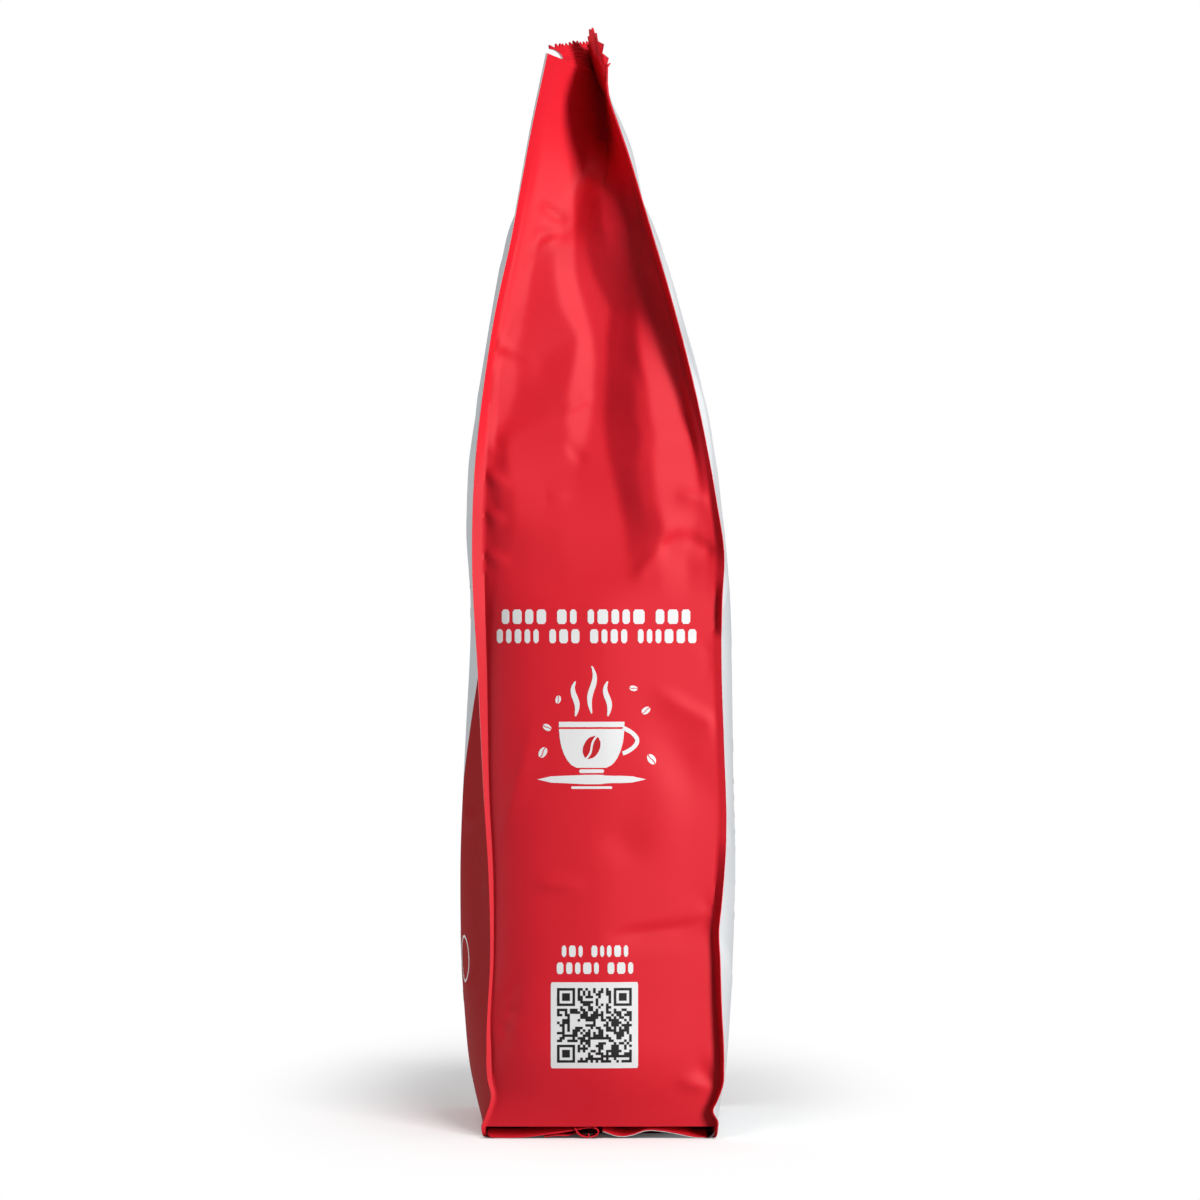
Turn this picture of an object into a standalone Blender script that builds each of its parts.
"""A filled quad-seal coffee bag, standing on its folded base.

The bag is one piece of laminated film: a wide front and back face, two side gussets, a narrow heat-sealed
fin down each of its four corners, and a crimped seal with a saw-tooth edge across the top. At each end the
seal forks in two, because the printed sides of a gusset face each other there and don't weld. The base seal
is folded under, just inside the gussets. The shut bag is modelled as one closed solid.

x runs through the bag from its front face (-x) to its back face (+x), y runs across the faces from the near
gusset (-y) to the far gusset (+y), and z is up. The origin is the middle of the base, on the floor.
"""

import math

import bmesh
import bpy

# Driving sizes, in metres
FACE_WIDTH = 0.1340  # across a face, between its fins
GUSSET_WIDTH = 0.0880  # film of a gusset, between its fins
FILL_HEIGHT = 0.2120  # the coffee stands this high; above it the bag is slack film
CRIMP_HEIGHT = 0.3860  # foot of the crimp, over the middle of the bag
CRIMP_WIDTH = 0.0110
CRIMP_THICKNESS = 0.0012
TOOTH_HEIGHT = 0.0017
FIN_WIDTH = 0.0060
FIN_THICKNESS = 0.0010
FIN_TURN = math.radians(58)  # a fin points this far round from straight out of its face
GUSSET_BULGE = 0.0060  # the coffee pushes the middle of a gusset out by this much
BULGE_RISE = 0.0320  # the bulge grows over this height at its foot
BULGE_TOP = 0.1800  # and fades from here
BULGE_SHOULDER = 3.0  # how squarely it leaves the fins: 2 is a plain arc
CLOSING_LENGTH = 0.0800  # the film draws together over this length below the crimp
LEVEL_TOP = 0.2600  # rings are level up to here, and slope to the flaps' feet above it
BASE_FOLD = 0.0034  # height of the folded base seal
BASE_STEP = 0.0008  # height over which the gussets turn in above it
BASE_INSET = 0.0040  # how far it stands inside the gussets
BASE_REACH = 0.0360  # how far it runs to each side of the middle
FACE_ROUNDNESS = 3.0  # over the coffee a face is nearly flat in the middle and falls off towards its fins
CORNER_SHARE = 1 / 3  # share of a gusset's half over which it turns out of the fin
SEAL_X = -0.0030  # the crimp lies a little towards the front
FOLD_Y = (FACE_WIDTH - GUSSET_WIDTH) / 2  # flattened gussets would reach this close to the middle

# Columns of faces round the bag, and rings of points up it
FLAP_COLUMNS = 12  # from a corner to the fold in the middle of its gusset
CENTRE_COLUMNS = 14  # between the two gusset folds, where front and back meet
BODY_RINGS = 27
CRIMP_RINGS = 2

# Upright lines of the bag, as (height, x) points of smooth curves
FIN_TIPS = {
    "near_front": (
        (0.000, -0.0412), (0.015, -0.0410), (0.064, -0.0389), (0.105, -0.0402), (0.208, -0.0461),
        (0.252, -0.0443), (0.302, -0.0367), (0.338, -0.0286), (0.390, -0.0200),
    ),
    "near_back": (
        (0.000, 0.0422), (0.028, 0.0443), (0.072, 0.0430), (0.108, 0.0458), (0.194, 0.0442),
        (0.212, 0.0447), (0.244, 0.0404), (0.302, 0.0259), (0.338, 0.0158), (0.384, 0.0026),
    ),
    "far_front": (
        (0.000, -0.0425), (0.100, -0.0415), (0.210, -0.0450), (0.270, -0.0400),
        (0.346, -0.0240), (0.386, -0.0140),
    ),
    "far_back": (
        (0.000, 0.0425), (0.100, 0.0440), (0.210, 0.0440), (0.270, 0.0345),
        (0.346, 0.0165), (0.386, 0.0085),
    ),
}
CROWNS = {
    "front": (
        (0.000, -0.0420), (0.012, -0.0458), (0.045, -0.0505), (0.090, -0.0517), (0.150, -0.0492),
        (0.225, -0.0475), (0.262, -0.0440), (0.302, -0.0390), (0.345, -0.0240), (0.372, -0.0100),
        (0.386, -0.0036),
    ),
    "back": (
        (0.000, 0.0420), (0.012, 0.0448), (0.045, 0.0482), (0.100, 0.0494), (0.150, 0.0482),
        (0.210, 0.0465), (0.262, 0.0385), (0.302, 0.0290), (0.345, 0.0165), (0.372, 0.0060),
        (0.386, -0.0024),
    ),
}
GUSSET_FOLDS = {
    "near": (
        (0.200, 0.0020), (0.270, -0.0020), (0.302, -0.0040), (0.323, -0.0070), (0.346, 0.0010),
        (0.366, 0.0035), (0.386, 0.0000),
    ),
    "far": ((0.200, -0.0060), (0.300, -0.0030), (0.386, -0.0030)),
}

# How deep the gussets are tucked in at their folds, and the long furrow that runs on down the near one from
# its V, by height
TUCK_DEPTHS = {
    "near": (
        (0.210, 0.0000), (0.240, 0.0022), (0.270, 0.0032), (0.300, 0.0044), (0.320, 0.0070),
        (0.334, 0.0110), (0.346, 0.0175), (0.370, 0.0340), (0.386, 0.0390),
    ),
    "far": (
        (0.205, 0.0000), (0.235, 0.0040), (0.265, 0.0120), (0.300, 0.0240), (0.340, 0.0340), (0.386, 0.0390),
    ),
}
FURROW_PLACE = (
    (0.204, 0.0170), (0.226, 0.0115), (0.248, 0.0020), (0.280, 0.0030), (0.302, -0.0030), (0.325, -0.0080),
)
FURROW_DEPTH = (
    (0.204, 0.0000), (0.226, 0.0030), (0.248, 0.0056), (0.290, 0.0066), (0.314, 0.0060), (0.346, 0.0000),
)
FURROW_REACH = 0.0180  # from its bottom to each shoulder

# Where the corners of the four welded flaps came to rest: at the foot of the crimp and at its edge.
# The near back flap also curls over along a crest.
FLAP_FEET = {
    "near_front": (-0.0182, -0.0665, 0.3885),
    "near_back": (0.0016, -0.0665, 0.3800),
    "far_front": (-0.0135, 0.0660, 0.3855),
    "far_back": (0.0075, 0.0660, 0.3845),
}
FLAP_EDGES = {
    "near_front": (-0.0178, -0.0560, 0.3926),
    "near_back": (0.0032, -0.0610, 0.3862),
    "far_front": (-0.0165, 0.0640, 0.3950),
    "far_back": (0.0090, 0.0650, 0.3940),
}
CREST_LIFT = (-0.0034, 0.0000, 0.0080)
CREST_END = 0.7  # share of the flap's length, from its corner

FILM_RED = (0.62, 0.02, 0.03, 1.0)
FILM_ROUGHNESS = 0.55


# Blending


def blend(low, high, share):
    return low + (high - low) * share


def blend_points(start, end, share):
    return tuple(blend(a, b, share) for a, b in zip(start, end))


def ease(share):
    """0 to 1 with a level start and end, and held outside that."""
    share = min(max(share, 0.0), 1.0)
    return share * share * (3 - 2 * share)


def rise(position, start, end):
    return ease((position - start) / (end - start))


def curve_at(points, position):
    """A smooth curve through (position, value) points, held level past its two ends."""
    position = min(max(position, points[0][0]), points[-1][0])
    k = max(i for i in range(len(points) - 1) if points[i][0] <= position)
    slopes = []
    for i in (k, k + 1):
        before, after = points[max(i - 1, 0)], points[min(i + 1, len(points) - 1)]
        slopes.append((after[1] - before[1]) / (after[0] - before[0]))
    (start, low), (end, high) = points[k], points[k + 1]
    t = (position - start) / (end - start)
    bend = (end - start) * (slopes[0] * t * (1 - t) ** 2 + slopes[1] * t * t * (t - 1))
    return blend(low, high, ease(t)) + bend


def sideways(along, face_sign):
    """The level unit vector across `along` that points to the bag's face on the side of `face_sign`."""
    length = math.hypot(along[0], along[1])
    across = (-along[1] / length, along[0] / length)
    flip = 1 if across[0] * face_sign > 0 else -1
    return across[0] * flip, across[1] * flip


def shifted(point, across, distance):
    return (point[0] + across[0] * distance, point[1] + across[1] * distance, point[2])


# One corner of the bag: half a gusset, a fin, and the part of a face beside them. Each of these runs
# from the corner inwards. A corner's signs are (x sign of its face, y sign of its gusset).

CORNERS = {"near_front": (-1, -1), "near_back": (1, -1), "far_back": (1, 1), "far_front": (-1, 1)}
OTHER_FACE = {"front": "back", "back": "front"}


def fin_points(root, out, face_sign, thickness):
    """A fin's four corners: root and tip on the gusset's side, tip and root on the face's side."""
    across = sideways(out, face_sign)
    tip = shifted(root, out, FIN_WIDTH)
    half = thickness / 2
    return [shifted(root, across, -half), shifted(tip, across, -half), shifted(tip, across, half),
            shifted(root, across, half)]


def furrow_depth(x, height):
    """How deep the near gusset's furrow is at x, with round shoulders and bottom."""
    reach = min(abs(x - curve_at(FURROW_PLACE, height)) / FURROW_REACH, 1.0)
    return curve_at(FURROW_DEPTH, height) * (0.5 + 0.5 * math.cos(math.pi * reach))


def body_corner(name, height):
    """(gusset half, fin, face part) where the bag is open."""
    face_sign, end_sign = CORNERS[name]
    out = (face_sign * math.cos(FIN_TURN), end_sign * math.sin(FIN_TURN))
    tip_x = curve_at(FIN_TIPS[name], height)
    root = (tip_x - out[0] * FIN_WIDTH, end_sign * FACE_WIDTH / 2, height)
    fin = fin_points(root, out, face_sign, FIN_THICKNESS)

    # The gusset bulges over the coffee and tucks into a V above it
    end, face_name = name.split("_")
    other_x = curve_at(FIN_TIPS[end + "_" + OTHER_FACE[face_name]], height) + out[0] * FIN_WIDTH
    drawn = rise(height, FILL_HEIGHT, CRIMP_HEIGHT - CLOSING_LENGTH)
    fold_x = blend((root[0] + other_x) / 2, curve_at(GUSSET_FOLDS[end], height), drawn)
    tuck = curve_at(TUCK_DEPTHS[end], height)
    filled = rise(height, 0.0, BULGE_RISE) * (1 - rise(height, BULGE_TOP, FILL_HEIGHT + BULGE_RISE))
    gusset = []
    for k in range(FLAP_COLUMNS + 1):
        share = k / FLAP_COLUMNS
        x = blend(fin[0][0], fold_x, share)
        in_valley = blend(ease(share), share, rise(height, FILL_HEIGHT, CRIMP_HEIGHT))
        outward = GUSSET_BULGE * filled * (1 - (1 - share) ** BULGE_SHOULDER) - tuck * in_valley
        if end == "near":
            outward -= furrow_depth(x, height)
        y = root[1] + end_sign * outward
        gusset.append((x, blend(fin[0][1], y, min(share / CORNER_SHARE, 1.0)), height))

    # The face swells from the fin to its crown, and is pinched flat towards the crimp
    crown_x = curve_at(CROWNS[face_name], height)
    pinch = rise(height, FILL_HEIGHT, CRIMP_HEIGHT)
    face = []
    for k in range(FLAP_COLUMNS + 1):
        y = blend(fin[3][1], end_sign * FOLD_Y, k / FLAP_COLUMNS)
        out_share = abs(y) / abs(fin[3][1])
        flat_share = FOLD_Y / abs(fin[3][1])
        to_corner = blend(out_share**FACE_ROUNDNESS, (out_share - flat_share) / (1 - flat_share), pinch)
        face.append((blend(crown_x, fin[3][0], max(to_corner, 0.0)), y, height))
    return gusset, fin, face


def flap_midline(name, up):
    """Points along a welded flap from its corner to the gusset fold; `up` is 0 at its foot, 1 at its edge."""
    end_sign = CORNERS[name][1]
    corner = blend_points(FLAP_FEET[name], FLAP_EDGES[name], up)
    fold = (SEAL_X, end_sign * FOLD_Y, CRIMP_HEIGHT + CRIMP_WIDTH * up)
    points = [blend_points(corner, fold, k / FLAP_COLUMNS) for k in range(FLAP_COLUMNS + 1)]
    if name == "near_back":
        for k in range(1, FLAP_COLUMNS):
            lift = up * math.sin(math.pi * min(k / FLAP_COLUMNS / CREST_END, 1.0))
            points[k] = tuple(p + lift * c for p, c in zip(points[k], CREST_LIFT))
    return points


def crimp_corner(name, up):
    """(gusset half, fin, face part) where the film is pressed flat."""
    face_sign = CORNERS[name][0]
    half = CRIMP_THICKNESS / 2
    line = flap_midline(name, up)
    out = (line[0][0] - line[1][0], line[0][1] - line[1][1])
    out = (out[0] / math.hypot(*out), out[1] / math.hypot(*out))
    fin = fin_points(line[0], out, face_sign, CRIMP_THICKNESS)
    gusset, face = [fin[0]], [fin[3]]
    for before, point, after in zip(line, line[1:], line[2:]):
        across = sideways((after[0] - before[0], after[1] - before[1]), face_sign)
        gusset.append(shifted(point, across, -half))
        face.append(shifted(point, across, half))
    gusset.append(shifted(line[-1], (0, CORNERS[name][1]), half))
    face.append(shifted(line[-1], (face_sign, 0), half))
    return gusset, fin, face


# Rings: closed outlines of the bag, anticlockwise from above. A ring runs along the near gusset, the back,
# the far gusset and the front, and between those come the two outer corners of a fin.

GUSSET_POINTS = 2 * FLAP_COLUMNS + 1
FACE_POINTS = GUSSET_POINTS + CENTRE_COLUMNS
NEAR_GUSSET = range(0, GUSSET_POINTS)
BACK = range(NEAR_GUSSET.stop + 2, NEAR_GUSSET.stop + 2 + FACE_POINTS)
FAR_GUSSET = range(BACK.stop + 2, BACK.stop + 2 + GUSSET_POINTS)
FRONT = range(FAR_GUSSET.stop + 2, FAR_GUSSET.stop + 2 + FACE_POINTS)
FIN_ENDS = [stretch.stop for stretch in (NEAR_GUSSET, BACK, FAR_GUSSET, FRONT)]


def joined_ring(corners, front_centre, back_centre):
    """One ring from its four corners and the two middle stretches of its faces."""
    near_front, near_back = corners["near_front"], corners["near_back"]
    far_back, far_front = corners["far_back"], corners["far_front"]
    points = near_front[0] + near_back[0][-2::-1] + near_back[1][1:3] + near_back[2]
    points += back_centre + far_back[2][::-1] + far_back[1][2:0:-1]
    points += far_back[0] + far_front[0][-2::-1] + far_front[1][1:3] + far_front[2]
    points += front_centre[::-1] + near_front[2][::-1] + near_front[1][2:0:-1]
    return points


def centre_points(near, far, crown_x, arch):
    """The middle stretch of a face, between the ends of its two corner parts."""
    points = []
    for k in range(1, CENTRE_COLUMNS):
        share = k / CENTRE_COLUMNS
        x, y, z = blend_points(near, far, share)
        points.append((blend(x, crown_x, arch * 4 * share * (1 - share)), y, z))
    return points


def closing_corner(name, height):
    """A corner of the open body, drawn in towards the crimp's foot as it nears it.

    The foot is carried along with the fin while the film closes on it, so the fin keeps its own line.
    """
    share = rise(height, CRIMP_HEIGHT - CLOSING_LENGTH, CRIMP_HEIGHT)
    slope = rise(height, LEVEL_TOP, CRIMP_HEIGHT)
    drift = curve_at(FIN_TIPS[name], height) - curve_at(FIN_TIPS[name], CRIMP_HEIGHT)
    stretches = []
    for body_points, foot_points in zip(body_corner(name, height), crimp_corner(name, 0.0)):
        points = []
        for k, (body, foot) in enumerate(zip(body_points, foot_points)):
            along = k / FLAP_COLUMNS if len(foot_points) > 4 else 0.0
            x = blend(body[0], foot[0] + drift * (1 - along), share)
            z = height + (foot[2] - CRIMP_HEIGHT) * slope
            points.append((x, blend(body[1], foot[1], share), z))
        stretches.append(points)
    return stretches


def body_ring(height):
    """The outline at a height between the folded base and the foot of the crimp."""
    corners = {name: closing_corner(name, height) for name in CORNERS}
    centres = {}
    for face in ("front", "back"):
        near, far = corners["near_" + face][2][-1], corners["far_" + face][2][-1]
        arch = 1 - rise(height, CRIMP_HEIGHT - CLOSING_LENGTH, CRIMP_HEIGHT)
        centres[face] = centre_points(near, far, curve_at(CROWNS[face], height), arch)
    return joined_ring(corners, centres["front"], centres["back"])


def crimp_ring(up):
    corners = {name: crimp_corner(name, up) for name in CORNERS}
    centres = {}
    for face in ("front", "back"):
        near, far = corners["near_" + face][2][-1], corners["far_" + face][2][-1]
        centres[face] = centre_points(near, far, 0.0, 0.0)
    return joined_ring(corners, centres["front"], centres["back"])


def base_ring(height):
    """The folded base seal: the gussets' stretches of the outline are set back from the fins."""
    points = []
    for x, y, _ in body_ring(BASE_FOLD):
        limit = FACE_WIDTH / 2 - BASE_INSET
        inside = abs(y) >= limit and abs(x) < BASE_REACH
        points.append((x, math.copysign(limit, y) if inside else y, height))
    return points


def tooth_ring(lower, points):
    """The crimp's edge: between each two points of its last ring stands a tooth, in line with the crimp."""
    edge = []
    for k, point in enumerate(points):
        middle = blend_points(point, points[(k + 1) % len(points)], 0.5)
        if k in FIN_ENDS:
            start, height = points[k - 1], FIN_THICKNESS / 2  # the end of a fin is rounded instead
        else:
            start, height = lower[k], TOOTH_HEIGHT
        reach = height / math.dist(start, point)
        edge += [point, tuple(m + (p - q) * reach for m, p, q in zip(middle, point, start))]
    return edge


# The solid


def add_ring(bm, points):
    return [bm.verts.new(point) for point in points]


def skin(bm, lower, upper):
    count = len(lower)
    for k in range(count):
        after = (k + 1) % count
        bm.faces.new((lower[k], lower[after], upper[after], upper[k]))


def skin_teeth(bm, lower, edge):
    """Faces up to the saw-tooth edge, which has a tooth tip after each point."""
    count = len(lower)
    for k in range(count):
        after = (k + 1) % count
        foot, tip, next_foot = edge[2 * k], edge[2 * k + 1], edge[2 * after]
        bm.faces.new((lower[k], lower[after], tip))
        bm.faces.new((lower[k], tip, foot))
        bm.faces.new((lower[after], next_foot, tip))


def close_between(bm, edge, one, other):
    """Faces over the crimp's edge, between two stretches of it that lie back to back."""
    for a, b, c, d in zip(one, one[1:], other, other[1:]):
        foot, tooth, next_foot = edge[2 * a], edge[2 * min(a, b) + 1], edge[2 * b]
        back_foot, back_tooth, back_next = edge[2 * c], edge[2 * min(c, d) + 1], edge[2 * d]
        bm.faces.new((foot, tooth, back_tooth, back_foot))
        bm.faces.new((tooth, next_foot, back_next, back_tooth))


def cap_edge(bm, edge):
    """Closes the top: each flap is half a gusset against a face, and between them the two faces meet."""
    flap = FLAP_COLUMNS
    near, back, far, front = list(NEAR_GUSSET), list(BACK), list(FAR_GUSSET), list(FRONT)
    close_between(bm, edge, near[: flap + 1], front[: -flap - 2 : -1])
    close_between(bm, edge, near[: flap - 1 : -1], back[: flap + 1])
    close_between(bm, edge, far[: flap + 1], back[: -flap - 2 : -1])
    close_between(bm, edge, far[: flap - 1 : -1], front[: flap + 1])
    close_between(bm, edge, back[flap:-flap], front[-flap - 1 : flap - 1 : -1])
    bm.faces.new([edge[2 * k] for k in (near[flap], back[flap], front[-flap - 1])])
    bm.faces.new([edge[2 * k] for k in (far[flap], front[flap], back[-flap - 1])])
    for end in FIN_ENDS:
        around = [edge[(2 * end - 2 + k) % len(edge)] for k in range(7)]
        root, tooth, tip, point, far_tip, far_tooth, far_root = around
        bm.faces.new((root, tooth, far_tooth, far_root))
        bm.faces.new((tooth, tip, far_tip, far_tooth))
        bm.faces.new((tip, point, far_tip))


def bag_mesh():
    bm = bmesh.new()
    rings = [add_ring(bm, base_ring(0.0)), add_ring(bm, base_ring(BASE_FOLD - BASE_STEP))]
    for k in range(BODY_RINGS):
        height = blend(BASE_FOLD, CRIMP_HEIGHT, k / (BODY_RINGS - 1))
        rings.append(add_ring(bm, body_ring(height)))
    crimp = [crimp_ring(k / CRIMP_RINGS) for k in range(1, CRIMP_RINGS + 1)]
    rings += [add_ring(bm, points) for points in crimp[:-1]]
    for lower, upper in zip(rings, rings[1:]):
        skin(bm, lower, upper)
    edge = add_ring(bm, tooth_ring(crimp[-2], crimp[-1]))
    skin_teeth(bm, rings[-1], edge)
    cap_edge(bm, edge)
    bm.faces.new(rings[0][::-1])
    bmesh.ops.triangulate(bm, faces=bm.faces)
    bmesh.ops.recalc_face_normals(bm, faces=bm.faces)
    mesh = bpy.data.meshes.new("coffee_bag")
    bm.to_mesh(mesh)
    bm.free()
    return mesh


def film_material():
    material = bpy.data.materials.new("matte red film")
    material.use_nodes = True
    shader = material.node_tree.nodes["Principled BSDF"]
    shader.inputs["Base Color"].default_value = FILM_RED
    shader.inputs["Roughness"].default_value = FILM_ROUGHNESS
    shader.inputs["Metallic"].default_value = 0.0
    return material


for old in list(bpy.data.objects):
    bpy.data.objects.remove(old, do_unlink=True)
parts = bpy.data.collections.new("coffee bag")
bpy.context.scene.collection.children.link(parts)
bag = bpy.data.objects.new("coffee_bag", bag_mesh())
bag.data.materials.append(film_material())
parts.objects.link(bag)
print("coffee bag:", len(bag.data.polygons), "triangles,", [round(side, 4) for side in bag.dimensions], "m")
